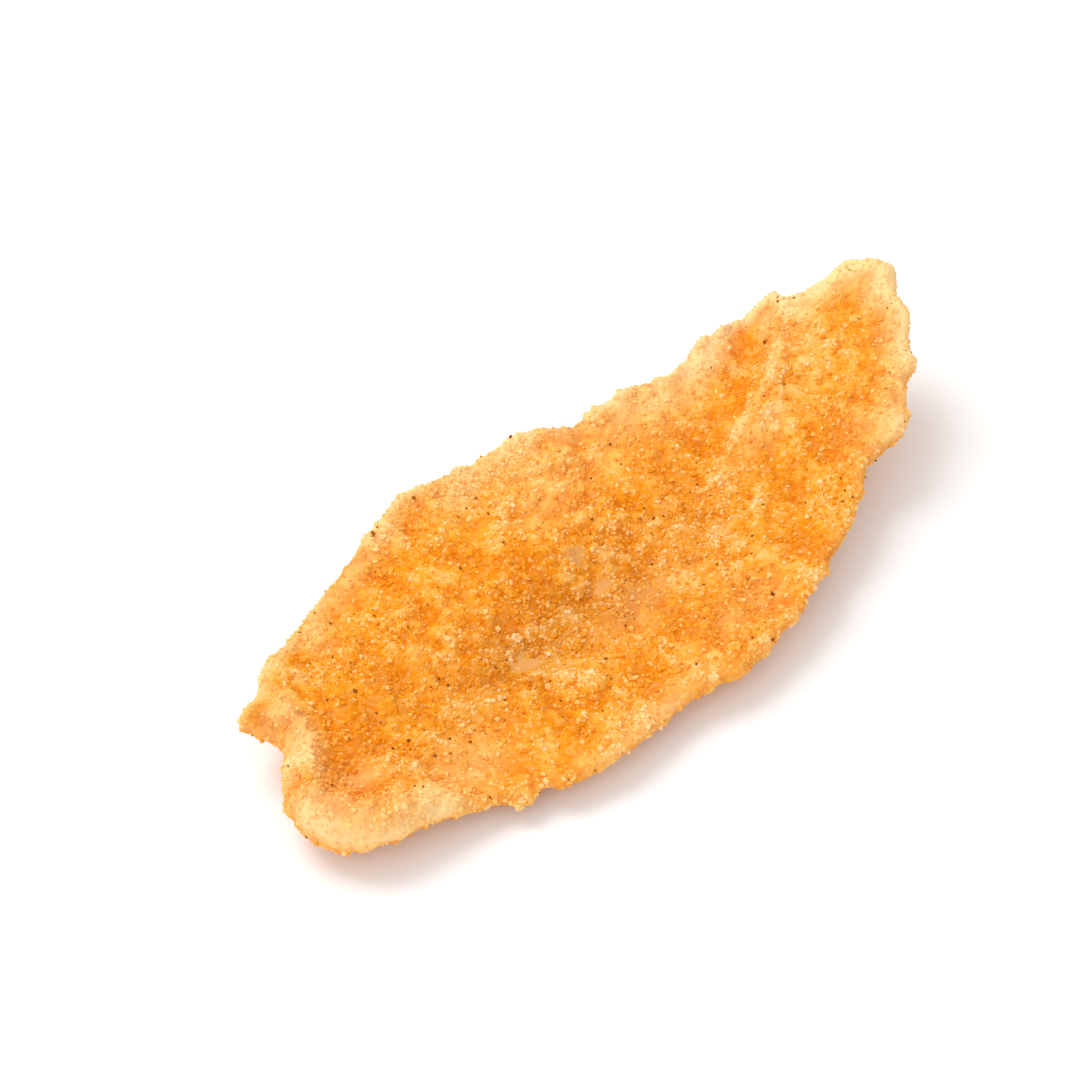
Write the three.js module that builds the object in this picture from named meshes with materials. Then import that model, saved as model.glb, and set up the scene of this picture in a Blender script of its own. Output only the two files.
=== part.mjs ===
// A fried fish fillet: one thin, skinless fillet in a cornmeal crust, curled as it fried.
// It lies on its belly with its length along +X, the lobed end at +X raised clear of the table,
// the blunt end at -X slightly raised, and the higher of its long edges at +Y. Millimetres,
// +Z up.
//
// The solid is two sheets over one plan, the upper and the lower face, which meet along the rim.
// A middle surface gives the curl, half of the thickness goes above and below it, and each face
// then has its own crags.
import * as THREE from "three";

// ---- Driving dimensions ----------------------------------------------------------------------

const HALF_LENGTH = 101;
const HALF_WIDTH = 45;

// The rim in plan, anticlockwise from the tip of the lobed end. A smooth closed curve runs
// through these points.
const LOBED_END = [
  [100.6, -5.4],
  [100.9, -3],
  [98.4, 3.5],
  [97, 7.9],
  [90.7, 10],
  [85, 14], // the notch between the end's two lobes
  [85.6, 18.8],
  [82, 21.3],
  [71.3, 21.8],
  [64, 23.2],
  [52, 23.7],
];
const CURLED_EDGE = [
  [44, 27],
  [35, 28.7],
  [25.3, 30.7],
  [17, 35],
  [6, 39],
  [-6, 41],
  [-20.5, 44],
  [-32.5, 41],
  [-45, 38.7],
  [-56.7, 36],
  [-67, 32.3],
];
const BLUNT_END = [
  [-77.5, 30],
  [-84.5, 26],
  [-89.3, 25], // the pointed nub at the corner
  [-91.8, 22.4],
  [-89.6, 18.7],
  [-89.5, 13],
  [-94.6, 7.9],
  [-100, 1.1],
  [-101, -5],
  [-97.3, -14],
  [-90, -19.2],
  [-80, -22.2],
];
const LOW_EDGE = [
  [-67.3, -26.2],
  [-65, -29.2],
  [-62.5, -31.3], // a drip of batter
  [-59, -31.2],
  [-55, -35.5],
  [-43.2, -38.5],
  [-31.5, -39],
  [-18.8, -40.8],
  [-7, -44],
  [7, -43.6],
  [21, -42.2],
  [33.5, -38.6],
  [43.6, -35.6],
  [55, -31],
  [63.6, -30.9],
  [71.3, -29.6],
  [79, -24.5],
  [84, -22.2],
  [88, -18.5],
  [92.6, -15],
  [96, -9],
];
const OUTLINE = [...LOBED_END, ...CURLED_EDGE, ...BLUNT_END, ...LOW_EDGE];
const FRAY = { depth: 0.6, cell: 5, shift: 20 };

// The curl along the length: level between the two starts, and rising beyond them to the ends.
const LOBED_END_CURL = { rise: 27, from: -7, span: 108, power: 2.1 };
const BLUNT_END_CURL = { rise: 4.5, from: 45, span: 56, power: 1.8 };

// The trough that runs the whole length, where the two muscle halves meet, and the slopes of
// the halves. It leaves the fillet beside the small lobe.
const TROUGH_LINE = [
  [-101, -3],
  [-80, -2],
  [-61, 1],
  [-45, 4],
  [-29, 0.8],
  [-2, 0.4],
  [20, 1.2],
  [37, 3.3],
  [50, 6.6],
  [61, 10.3],
  [69.5, 13],
  [76, 18.5],
  [84, 22.5],
  [98, 29],
];
const TROUGH = { at: 0, half: 7, height: -1.4 };
const TROUGH_ZONE = { from: -95, full: -60 };
const CURLED_HALF = { rise: 10, from: 1, span: 40, power: 1.3 };
const LOW_HALF = { rise: 4, from: 9, span: 34, power: 1.6 };

// The lobed end's steep crease, the narrow ridge beside it and the big lobe falling away.
const CREASE = { at: 0, half: 4.6, height: -3.6 };
const RIDGE = { at: -8.3, half: 3.6, height: 2.7 };
const RIDGE_INWARD = { from: 0, full: 9 };
const BIG_LOBE = { rise: -5, from: 14, span: 30, power: 1.8 };
const LOBES_ZONE = { from: 27, full: 72 };

// The rim: rolled into a thick lip round the blunt end, and a low crumbed bead elsewhere.
const LIP = { at: 6, half: 4.4, height: 4 };
const BEAD = { at: 3, half: 3.2, height: 0.9 };
const LIP_ZONE = { from: 65, full: 95 };
const DRIP = { at: 0, half: 4, height: -1.4, x: -63, y: -31.5 };

// Half of the thickness: the radius of the rim's edge, and the body some way in from it.
const EDGE = { radius: 1.7, lipExtra: 2.7, tipExtra: 0.7 };
const TIP_ZONE = { from: 67, full: 92 };
const BODY = { half: 4.6, bluntExtra: 0.3, lobedThinner: 1.4, from: 0.5, full: 20 };
const BLUNT_BODY_ZONE = { from: 40, full: 90 };
const LOBED_BODY_ZONE = { from: 20, full: 90 };

// What frying left uneven in the whole slab: edges that wave up and down, and broad swells.
const EDGE_WAVE = { height: 1.6, cell: 19, reach: 16, side: 15, apart: 40 };
const SWELLS = { height: 0.8, cell: 17 };

// The crust's crags and its soft folds, which differ on the underside.
const CRAGS = { height: 0.55, cell: 6.5, shift: 50 };
const FOLDS = { height: 0.45, cell: 12, shift: 80 };
const FOLDS_INWARD = { from: 2, full: 8 };
const UNDERSIDE_SHIFT = 200;
const UNDERSIDE_INWARD = { from: 0, full: 6 };

// Flaky steps of the upper face: each runs from one plan point to another, stands up sharply
// on its right-hand side and dies away on its left.
const FLAKES = [
  { start: [16, 21.5], end: [2.7, 29.3], height: 1.1 },
  { start: [0.4, 21.4], end: [-6, 30], height: 1 },
  { start: [-30, -24], end: [-46, -29], height: 0.9 },
  { start: [-58, 21], end: [-72, 12], height: 0.8 },
  { start: [33, -17], end: [22, -28], height: 0.8 },
];
const FLAKE_EDGE = 0.9;
const FLAKE_REACH = 4.5;
const FLAKE_ENDS = { from: -3, full: 1 };

// Smooth hollows where the meal came off, along the trough.
const HOLLOWS = [
  { x: -7.5, y: -3.5, long: 6.5, wide: 2.6 },
  { x: -34, y: -6.3, long: 7, wide: 3 },
  { x: -5, y: 6.3, long: 4.5, wide: 2.4 },
];
const HOLLOW_DEPTH = 0.8;
const HOLLOW_TURN = 0.2;

// The belly's lowest part is flattened by the table that it lies on.
const REST_DEPTH = 4.2;

// The mesh: steps along and across each sheet, drawn closer together towards the rim.
const STEPS_ALONG = 80;
const STEPS_ACROSS = 36;
const RIM_CROWDING = 1.3;
const PLAN_BLEND = 1.5;
const CURVE_SAMPLES = 1272;
const CLEARLY_SHORTER = 1.1;

// ---- Plain arithmetic ------------------------------------------------------------------------

const STEEPEST_SHARE = 1.5;
const LATTICE_TURN = { cos: 0.8, sin: 0.6 };
const CORNER_MIX = { i: 127.1, j: 311.7, spread: 43758.5453 };

function clamp(value, low, high) {
  return Math.min(Math.max(value, low), high);
}

// A smooth step from 0 at low to 1 at high.
function ramp(value, low, high) {
  const t = clamp((value - low) / (high - low), 0, 1);
  return t * t * (3 - 2 * t);
}

// How far a value is into a zone, from 0 where it begins to 1 where it is full.
function within(value, zone) {
  return ramp(value, zone.from, zone.full);
}

// A bell of this shape's height, its middle at shape.at.
function bell(value, shape) {
  return shape.height * Math.exp(-(((value - shape.at) / shape.half) ** 2));
}

// A slope that starts at shape.from and has risen by shape.rise after shape.span.
function slope(value, shape) {
  const t = clamp((value - shape.from) / shape.span, 0, STEEPEST_SHARE);
  return shape.rise * t ** shape.power;
}

// A straight-line look-up in a list of [x, y] points with rising x.
function along(points, x) {
  const last = points.length - 1;
  if (x <= points[0][0]) return points[0][1];
  if (x >= points[last][0]) return points[last][1];
  const next = points.findIndex((point) => point[0] > x);
  const [x0, y0] = points[next - 1];
  const [x1, y1] = points[next];
  return y0 + ((y1 - y0) * (x - x0)) / (x1 - x0);
}

// A fixed number from 0 to 1 for each corner of a square lattice.
function corner(i, j) {
  const wild = Math.sin(i * CORNER_MIX.i + j * CORNER_MIX.j) * CORNER_MIX.spread;
  return wild - Math.floor(wild);
}

// Smooth unevenness from -1 to 1: the corners' numbers, blended inside each cell. The lattice
// is turned by a 3-4-5 triangle's angle so that its rows follow neither axis.
function uneven(x, y, cell) {
  const u = (LATTICE_TURN.cos * x + LATTICE_TURN.sin * y) / cell;
  const v = (LATTICE_TURN.cos * y - LATTICE_TURN.sin * x) / cell;
  const i = Math.floor(u);
  const j = Math.floor(v);
  const su = ramp(u - i, 0, 1);
  const sv = ramp(v - j, 0, 1);
  const low = corner(i, j) * (1 - su) + corner(i + 1, j) * su;
  const high = corner(i, j + 1) * (1 - su) + corner(i + 1, j + 1) * su;
  return 2 * (low * (1 - sv) + high * sv) - 1;
}

// ---- The plan --------------------------------------------------------------------------------

// The rim's distance from the middle in each direction, as a share of the ellipse with the same
// half length and half width. Directions are the ellipse's own angle. The rim frays all along,
// apart from the smooth lip.
function rimShares(outline) {
  const points = outline.map(([x, y]) => new THREE.Vector3(x, y, 0));
  const curve = new THREE.CatmullRomCurve3(points, true, "catmullrom", 0.5);
  const shares = [];
  for (let i = 0; i < CURVE_SAMPLES; i++) {
    const { x, y } = curve.getPoint(i / CURVE_SAMPLES);
    const angle = Math.atan2(y / HALF_WIDTH, x / HALF_LENGTH);
    const frayed = uneven(x, y + FRAY.shift, FRAY.cell) * (1 - within(-x, LIP_ZONE));
    const smooth = Math.hypot(x / HALF_LENGTH, y / HALF_WIDTH);
    shares.push([angle, smooth + FRAY.depth * frayed * steepness(angle)]);
  }
  shares.sort((a, b) => a[0] - b[0]);
  const turn = 2 * Math.PI;
  const [first, last] = [shares[0], shares[shares.length - 1]];
  return [[last[0] - turn, last[1]], ...shares, [first[0] + turn, first[1]]];
}

// How much of the ellipse's reach a millimetre takes up in a direction.
function steepness(angle) {
  return Math.hypot(Math.cos(angle) / HALF_LENGTH, Math.sin(angle) / HALF_WIDTH);
}

function polarPoint(angle, reach) {
  return [HALF_LENGTH * reach * Math.cos(angle), HALF_WIDTH * reach * Math.sin(angle)];
}

const RIM = rimShares(OUTLINE);
const RIM_LINE = RIM.map(([angle, share]) => polarPoint(angle, share));

// The distance from a plan point to the nearest part of the rim.
function rimDistance(x, y) {
  let nearest = Infinity;
  for (let i = 1; i < RIM_LINE.length; i++) {
    const [x0, y0] = RIM_LINE[i - 1];
    const [dx, dy] = [RIM_LINE[i][0] - x0, RIM_LINE[i][1] - y0];
    const t = clamp(((x - x0) * dx + (y - y0) * dy) / (dx * dx + dy * dy), 0, 1);
    nearest = Math.min(nearest, Math.hypot(x - x0 - t * dx, y - y0 - t * dy));
  }
  return nearest;
}

// A point of the plan. u and v run from -1 to 1 over a square, whose rings are rounded to
// circles, stretched to ellipses and then drawn out to the rim.
function planPoint(u, v) {
  const lengthwise = Math.abs(u) > Math.abs(v);
  const reach = lengthwise ? u : v;
  const aside = reach === 0 ? 0 : ((lengthwise ? v : u) / reach) * (Math.PI / 4);
  const a = reach * (lengthwise ? Math.cos(aside) : Math.sin(aside));
  const b = reach * (lengthwise ? Math.sin(aside) : Math.cos(aside));
  const angle = Math.atan2(b, a);
  const out = 1 - (1 - Math.abs(reach)) ** RIM_CROWDING;
  return polarPoint(angle, out * (1 + (along(RIM, angle) - 1) * out ** PLAN_BLEND));
}

// ---- The form --------------------------------------------------------------------------------

// The section across: the trough, the half that curls up, the half that lies low, and the
// lobed end's crease, ridge and big lobe. aside is the distance from the trough's line.
function sectionAcross(x, aside, inward) {
  const lobes = within(x, LOBES_ZONE);
  const trough = bell(aside, TROUGH) * (1 - lobes) * within(x, TROUGH_ZONE);
  const halves = slope(aside, CURLED_HALF) + slope(-aside, LOW_HALF);
  const ridge = bell(aside, RIDGE) * within(inward, RIDGE_INWARD);
  const folds = bell(aside, CREASE) + ridge + slope(-aside, BIG_LOBE);
  return trough + halves + folds * lobes;
}

// The lip round the blunt end, the bead along the other edges, and the drip.
function rimRelief(x, y, inward) {
  const blunt = within(-x, LIP_ZONE);
  const drip = bell(Math.hypot(x - DRIP.x, y - DRIP.y), DRIP);
  return bell(inward, LIP) * blunt + bell(inward, BEAD) * (1 - blunt) + drip;
}

// Edges that wave up and down, and broad swells.
function swelling(x, y, inward) {
  const side = EDGE_WAVE.apart * clamp(y / EDGE_WAVE.side, -1, 1);
  const near = ramp(EDGE_WAVE.reach - inward, 0, EDGE_WAVE.reach);
  const calm = 1 - within(-x, LIP_ZONE);
  const edge = EDGE_WAVE.height * uneven(x, side, EDGE_WAVE.cell) * near * calm;
  return edge + SWELLS.height * uneven(x, y, SWELLS.cell);
}

function middleHeight(x, y, inward) {
  const curl = slope(x, LOBED_END_CURL) + slope(-x, BLUNT_END_CURL);
  const across = sectionAcross(x, y - along(TROUGH_LINE, x), inward);
  return curl + across + rimRelief(x, y, inward) + swelling(x, y, inward);
}

// Half of the thickness: a round edge at the rim that swells into the body.
function halfThickness(x, inward) {
  const lip = EDGE.lipExtra * within(-x, LIP_ZONE);
  const radius = EDGE.radius + lip + EDGE.tipExtra * within(x, TIP_ZONE);
  const thinner = BODY.lobedThinner * within(x, LOBED_BODY_ZONE);
  const body = BODY.half + BODY.bluntExtra * within(-x, BLUNT_BODY_ZONE) - thinner;
  const across = clamp(inward / radius, 0, 1);
  const edge = radius * Math.sqrt(1 - (1 - across) ** 2);
  return edge + Math.max(body - radius, 0) * ramp(inward, BODY.from * radius, BODY.full);
}

// The crust's crags, and folds that are sharp where the unevenness changes sign.
function crags(x, y, inward, shift) {
  const rough = CRAGS.height * uneven(x + CRAGS.shift + shift, y, CRAGS.cell);
  const folded = 1 - 2 * Math.abs(uneven(x + shift, y + FOLDS.shift, FOLDS.cell));
  return rough + FOLDS.height * folded * within(inward, FOLDS_INWARD);
}

// One flaky step: a quick rise across the line and a slow fall behind it.
function flakeStep(x, y, flake) {
  const [x0, y0] = flake.start;
  const [x1, y1] = flake.end;
  const length = Math.hypot(x1 - x0, y1 - y0);
  const ahead = ((x - x0) * (x1 - x0) + (y - y0) * (y1 - y0)) / length;
  const behind = ((x - x0) * (y1 - y0) - (y - y0) * (x1 - x0)) / length;
  const ends = within(ahead, FLAKE_ENDS) * within(length - ahead, FLAKE_ENDS);
  const rise = ramp(behind, -FLAKE_EDGE, FLAKE_EDGE);
  return flake.height * rise * Math.exp(-Math.max(behind, 0) / FLAKE_REACH) * ends;
}

// One smooth hollow: an ellipse with a flat floor and soft sides.
function hollow(x, y, place) {
  const ahead = (x - place.x) * Math.cos(HOLLOW_TURN) + (y - place.y) * Math.sin(HOLLOW_TURN);
  const aside = (y - place.y) * Math.cos(HOLLOW_TURN) - (x - place.x) * Math.sin(HOLLOW_TURN);
  const out = (ahead / place.long) ** 2 + (aside / place.wide) ** 2;
  return HOLLOW_DEPTH * Math.exp(-(out ** 2));
}

function upperHeight(x, y, inward) {
  const flakes = FLAKES.reduce((sum, flake) => sum + flakeStep(x, y, flake), 0);
  const hollows = HOLLOWS.reduce((sum, place) => sum + hollow(x, y, place), 0);
  const relief = crags(x, y, inward, 0) + flakes - hollows;
  return middleHeight(x, y, inward) + halfThickness(x, inward) + relief;
}

// The underside has crags of its own, joined to the upper face's along the rim.
function lowerHeight(x, y, inward) {
  const own = within(inward, UNDERSIDE_INWARD);
  const shared = crags(x, y, inward, 0) * (1 - own);
  const relief = shared - crags(x, y, inward, UNDERSIDE_SHIFT) * own;
  return middleHeight(x, y, inward) - halfThickness(x, inward) + relief;
}

// ---- The mesh --------------------------------------------------------------------------------

// Both sheets of the fillet as one closed mesh. The rim's points are shared by the two sheets.
function filletGeometry() {
  const positions = [];
  const upper = [];
  const lower = [];
  const addPoint = (x, y, z) => positions.push(x, y, z + REST_DEPTH) / 3 - 1;
  for (let i = 0; i <= STEPS_ALONG; i++) {
    upper.push([]);
    lower.push([]);
    for (let j = 0; j <= STEPS_ACROSS; j++) {
      const u = (2 * i) / STEPS_ALONG - 1;
      const v = (2 * j) / STEPS_ACROSS - 1;
      const [x, y] = planPoint(u, v);
      if (i % STEPS_ALONG === 0 || j % STEPS_ACROSS === 0) {
        upper[i].push(addPoint(x, y, middleHeight(x, y, 0) + crags(x, y, 0, 0)));
        lower[i].push(upper[i][j]);
        continue;
      }
      const inward = rimDistance(x, y);
      upper[i].push(addPoint(x, y, upperHeight(x, y, inward)));
      lower[i].push(addPoint(x, y, Math.max(lowerHeight(x, y, inward), -REST_DEPTH)));
    }
  }
  const geometry = new THREE.BufferGeometry();
  geometry.setAttribute("position", new THREE.Float32BufferAttribute(positions, 3));
  const apart = (p, q) => pointAt(positions, p).distanceTo(pointAt(positions, q));
  geometry.setIndex([...sheetFaces(upper, true, apart), ...sheetFaces(lower, false, apart)]);
  geometry.computeVertexNormals();
  return geometry;
}

function pointAt(positions, index) {
  return new THREE.Vector3().fromArray(positions, 3 * index);
}

// Two triangles for each cell, cut along the clearly shorter diagonal. Where neither is, and at
// the sheet's corners, the cut points at the sheet's middle, so that no triangle has all three
// of its corners on the rim.
function sheetFaces(sheet, facesUp, apart) {
  const faces = [];
  const add = (a, b, c) => (facesUp ? faces.push(a, b, c) : faces.push(a, c, b));
  for (let i = 0; i < STEPS_ALONG; i++) {
    for (let j = 0; j < STEPS_ACROSS; j++) {
      const a = sheet[i][j];
      const b = sheet[i + 1][j];
      const c = sheet[i + 1][j + 1];
      const d = sheet[i][j + 1];
      const atCorner = i % (STEPS_ALONG - 1) === 0 && j % (STEPS_ACROSS - 1) === 0;
      const excess = apart(b, d) / apart(a, c);
      const inwards = i < STEPS_ALONG / 2 === j < STEPS_ACROSS / 2;
      const clear = Math.max(excess, 1 / excess) > CLEARLY_SHORTER && !atCorner;
      if (clear ? excess > 1 : inwards) {
        add(a, b, c);
        add(a, c, d);
      } else {
        add(a, b, d);
        add(b, c, d);
      }
    }
  }
  return faces;
}

const crust = new THREE.MeshStandardMaterial({ color: 0xf5a54c, roughness: 0.72, metalness: 0 });
const fillet = new THREE.Mesh(filletGeometry(), crust);
fillet.name = "fillet";

const food = new THREE.Group();
food.add(fillet);

export default food;
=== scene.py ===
"""A fried fish fillet in a coarse cornmeal crust, dressed over its solid.

The script builds the crust first, in the same form as the solid but with all its crumbs, and
then scatters over it what clings to a fried crust: grains of cornmeal and specks of pepper.
Sizes are in millimetres until a mesh is made, and everything Blender holds is in metres.
"""

import bpy
import numpy as np
from mathutils import Matrix


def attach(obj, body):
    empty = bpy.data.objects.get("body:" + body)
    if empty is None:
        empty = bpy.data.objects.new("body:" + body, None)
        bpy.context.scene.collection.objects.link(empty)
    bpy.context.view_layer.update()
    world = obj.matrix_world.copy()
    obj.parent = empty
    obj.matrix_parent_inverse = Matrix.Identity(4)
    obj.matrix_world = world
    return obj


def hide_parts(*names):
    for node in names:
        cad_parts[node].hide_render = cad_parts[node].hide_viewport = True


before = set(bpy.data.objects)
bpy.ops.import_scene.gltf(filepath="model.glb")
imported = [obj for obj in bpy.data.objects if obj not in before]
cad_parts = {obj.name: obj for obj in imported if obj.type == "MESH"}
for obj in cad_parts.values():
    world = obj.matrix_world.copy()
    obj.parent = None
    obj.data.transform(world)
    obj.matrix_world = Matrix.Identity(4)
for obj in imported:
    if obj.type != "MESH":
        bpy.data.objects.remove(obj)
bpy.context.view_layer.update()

# ---- The fillet's plan ---------------------------------------------------------------------
# The fillet is one thin slab of white fish cut from the side of the bone. Seen from above it
# is a long leaf: one end has two lobes with a notch between them, the other is cut blunt.

HALF_LENGTH = 101.0
HALF_WIDTH = 45.0
LOBED_END = [
    (100.6, -5.4), (100.9, -3), (98.4, 3.5), (97, 7.9), (90.7, 10), (85, 14), (85.6, 18.8),
    (82, 21.3), (71.3, 21.8), (64, 23.2), (52, 23.7),
]
CURLED_EDGE = [
    (44, 27), (35, 28.7), (25.3, 30.7), (17, 35), (6, 39), (-6, 41), (-20.5, 44),
    (-32.5, 41), (-45, 38.7), (-56.7, 36), (-67, 32.3),
]
BLUNT_END = [
    (-77.5, 30), (-84.5, 26), (-89.3, 25), (-91.8, 22.4), (-89.6, 18.7), (-89.5, 13),
    (-94.6, 7.9), (-100, 1.1), (-101, -5), (-97.3, -14), (-90, -19.2), (-80, -22.2),
]
LOW_EDGE = [
    (-67.3, -26.2), (-65, -29.2), (-62.5, -31.3), (-59, -31.2), (-55, -35.5), (-43.2, -38.5),
    (-31.5, -39), (-18.8, -40.8), (-7, -44), (7, -43.6), (21, -42.2), (33.5, -38.6),
    (43.6, -35.6), (55, -31), (63.6, -30.9), (71.3, -29.6), (79, -24.5), (84, -22.2),
    (88, -18.5), (92.6, -15), (96, -9),
]
LIP_ZONE = (65.0, 95.0)
FRAY_DEPTH, FRAY_CELL, FRAY_SHIFT = 0.6, 5.0, 20.0
RIM_SPANS = 12
STEPS_ALONG = 324
STEPS_ACROSS = 144
RIM_CROWDING = 1.1
PLAN_BLEND = 1.5
RIM_BLOCKS = 40
CORNER_MIX = (127.1, 311.7, 74.7)
CORNER_SPREAD = 43758.5453
LATTICE_TURN = (0.8, 0.6)
WHOLE_TURN = 2.0 * np.pi


def ramp(value, low, high):
    """A smooth step: 0 below low, 1 above high, and 3t^2 - 2t^3 between."""
    t = np.clip((value - low) / (high - low), 0.0, 1.0)
    return t * t * (3.0 - 2.0 * t)


def corner(*lattice):
    """A fixed number from 0 to 1 for each lattice corner: what stands after the point in the
    sine of the corner's mixed numbers, made huge."""
    wild = np.sin(sum(w * n for w, n in zip(CORNER_MIX, lattice))) * CORNER_SPREAD
    return wild - np.floor(wild)


def uneven(x, y, cell):
    """Unevenness from -1 to 1: numbers at the corners of square cells, blended inside each,
    on a lattice turned by a 3-4-5 triangle's angle."""
    ahead, aside = LATTICE_TURN
    u, v = (ahead * x + aside * y) / cell, (ahead * y - aside * x) / cell
    i, j = np.floor(u), np.floor(v)
    su, sv = ramp(u - i, 0.0, 1.0), ramp(v - j, 0.0, 1.0)
    low = corner(i, j) * (1.0 - su) + corner(i + 1, j) * su
    high = corner(i, j + 1) * (1.0 - su) + corner(i + 1, j + 1) * su
    return 2.0 * (low * (1.0 - sv) + high * sv) - 1.0


def polar_point(angle, reach):
    """The plan point at an ellipse's own angle and a share of the ellipse's reach."""
    return HALF_LENGTH * reach * np.cos(angle), HALF_WIDTH * reach * np.sin(angle)


def rim_shares(points):
    """The rim as (angle, share of the plain ellipse): a closed cubic through the points, whose
    slope at each point is half the step between its neighbours, frayed all along but not at
    the smooth lip, and looked at from the middle."""
    here = np.array(points, float)
    ahead = np.roll(here, -1, axis=0)
    slope_here = (ahead - np.roll(here, 1, axis=0)) / 2.0
    slope_ahead = np.roll(slope_here, -1, axis=0)
    t = (np.arange(RIM_SPANS) / RIM_SPANS)[None, :, None]
    curve = (
        (2 * t**3 - 3 * t**2 + 1) * here[:, None]
        + (t**3 - 2 * t**2 + t) * slope_here[:, None]
        + (3 * t**2 - 2 * t**3) * ahead[:, None]
        + (t**3 - t**2) * slope_ahead[:, None]
    ).reshape(-1, 2)
    x, y = curve.T
    angle = np.arctan2(y / HALF_WIDTH, x / HALF_LENGTH)
    share = np.hypot(x / HALF_LENGTH, y / HALF_WIDTH)
    steepness = np.hypot(np.cos(angle) / HALF_LENGTH, np.sin(angle) / HALF_WIDTH)
    frayed = uneven(x, y + FRAY_SHIFT, FRAY_CELL) * (1.0 - ramp(-x, *LIP_ZONE))
    order = np.argsort(angle)
    return angle[order], (share + FRAY_DEPTH * frayed * steepness)[order]


def plan_grid(rim, steps_along, steps_across):
    """Plan points on a grid over the square -1..1, whose rings are rounded to circles by
    Shirley and Chiu's rule, crowded towards the rim, stretched to ellipses and drawn out to
    the rim, the outer ones most."""
    u, v = np.meshgrid(
        np.linspace(-1.0, 1.0, steps_along + 1),
        np.linspace(-1.0, 1.0, steps_across + 1),
        indexing="ij",
    )
    lengthwise = np.abs(u) > np.abs(v)
    reach = np.where(lengthwise, u, v)
    aside = np.where(lengthwise, v, u) / np.where(reach == 0.0, 1.0, reach) * (np.pi / 4.0)
    a = reach * np.where(lengthwise, np.cos(aside), np.sin(aside))
    b = reach * np.where(lengthwise, np.sin(aside), np.cos(aside))
    angle = np.arctan2(b, a)
    out = 1.0 - (1.0 - np.abs(reach)) ** RIM_CROWDING
    share = np.interp(angle, *rim, period=WHOLE_TURN)
    return polar_point(angle, out * (1.0 + (share - 1.0) * out**PLAN_BLEND))


def rim_distance(x, y, rim):
    """How far each plan point lies from the nearest stretch of the rim: its distance to the
    line through each pair of neighbouring rim points, kept between the two. The points are
    taken a block at a time, which saves memory."""
    line = np.stack(polar_point(*rim), axis=-1)
    step = np.roll(line, -1, axis=0) - line
    nearest = []
    for block in np.array_split(np.stack([x.ravel(), y.ravel()], axis=-1), RIM_BLOCKS):
        away = block[:, None] - line
        t = np.clip((away * step).sum(axis=-1) / (step * step).sum(axis=-1), 0.0, 1.0)
        away -= t[..., None] * step
        nearest.append(np.sqrt((away * away).sum(axis=-1).min(axis=1)))
    return np.concatenate(nearest).reshape(x.shape)


rim = rim_shares(LOBED_END + CURLED_EDGE + BLUNT_END + LOW_EDGE)
plan_x, plan_y = plan_grid(rim, STEPS_ALONG, STEPS_ACROSS)
inward = rim_distance(plan_x, plan_y, rim)

# ---- The curled fish under its crust -------------------------------------------------------
# Hot oil shrinks the side that had the skin, so the fillet curls along its length and its two
# muscle halves fold up from the trough between them. The belly is flat where it was set down.

# Here a slope is its rise, where it starts, its span and its power, a hump or a groove is the
# place of its middle, its half width and its height, and a zone is where it begins and is full.
LOBED_END_CURL = (27.0, -7.0, 108.0, 2.1)
BLUNT_END_CURL = (4.5, 45.0, 56.0, 1.8)
TROUGH_LINE = np.array([
    (-101, -3), (-80, -2), (-61, 1), (-45, 4), (-29, 0.8), (-2, 0.4), (20, 1.2),
    (37, 3.3), (50, 6.6), (61, 10.3), (69.5, 13), (76, 18.5), (84, 22.5), (98, 29),
], float)
TROUGH = (0.0, 7.0, -1.4)
TROUGH_ZONE = (-95.0, -60.0)
CURLED_HALF = (10.0, 1.0, 40.0, 1.3)
LOW_HALF = (4.0, 9.0, 34.0, 1.6)
CREASE = (0.0, 4.6, -3.6)
RIDGE = (-8.3, 3.6, 2.7)
RIDGE_INWARD = (0.0, 9.0)
BIG_LOBE = (-5.0, 14.0, 30.0, 1.8)
LOBES_ZONE = (27.0, 72.0)
LIP = (6.0, 4.4, 4.0)
BEAD = (3.0, 3.2, 0.9)
DRIP, DRIP_PLACE = (0.0, 4.0, -1.4), (-63.0, -31.5)
WAVE_HEIGHT, WAVE_CELL, WAVE_REACH = 1.6, 19.0, 16.0
EDGES_APART, SIDE_CHANGES = 40.0, 15.0
SWELL_HEIGHT, SWELL_CELL = 0.8, 17.0
SLOPE_STOPS = 1.5
REST_DEPTH = 4.2

# The slab is thick in its body, thinner at its edges and towards the lobes.
BODY_HALF = 4.6
BLUNT_THICKER, BLUNT_ZONE = 0.3, (40.0, 90.0)
LOBES_THINNER, THINNER_ZONE = 1.4, (20.0, 90.0)
EDGE_RADIUS = 1.7
LIP_THICKER = 2.7
TIP_THICKER, TIP_ZONE = 0.7, (67.0, 92.0)
BODY_FROM, BODY_FULL = 0.5, 20.0

# Both faces have crags and folds, and the upper one also flaky steps and bare hollows.
CRAG_HEIGHT, CRAG_CELL, CRAG_SHIFT = 0.55, 6.5, 50.0
FOLD_HEIGHT, FOLD_CELL, FOLD_SHIFT = 0.45, 12.0, 80.0
FOLDS_INWARD = (2.0, 8.0)
UNDERSIDE_INWARD, UNDERSIDE_SHIFT = (0.0, 6.0), 200.0
FLAKES = [
    (16, 21.5, 2.7, 29.3, 1.1), (0.4, 21.4, -6, 30, 1.0), (-30, -24, -46, -29, 0.9),
    (-58, 21, -72, 12, 0.8), (33, -17, 22, -28, 0.8),
]
FLAKE_EDGE, FLAKE_REACH, FLAKE_ENDS = 0.9, 4.5, (-3.0, 1.0)
HOLLOWS = [(-7.5, -3.5, 6.5, 2.6), (-34, -6.3, 7, 3), (-5, 6.3, 4.5, 2.4)]
HOLLOW_DEPTH, HOLLOW_TURN = 0.8, 0.2


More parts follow.
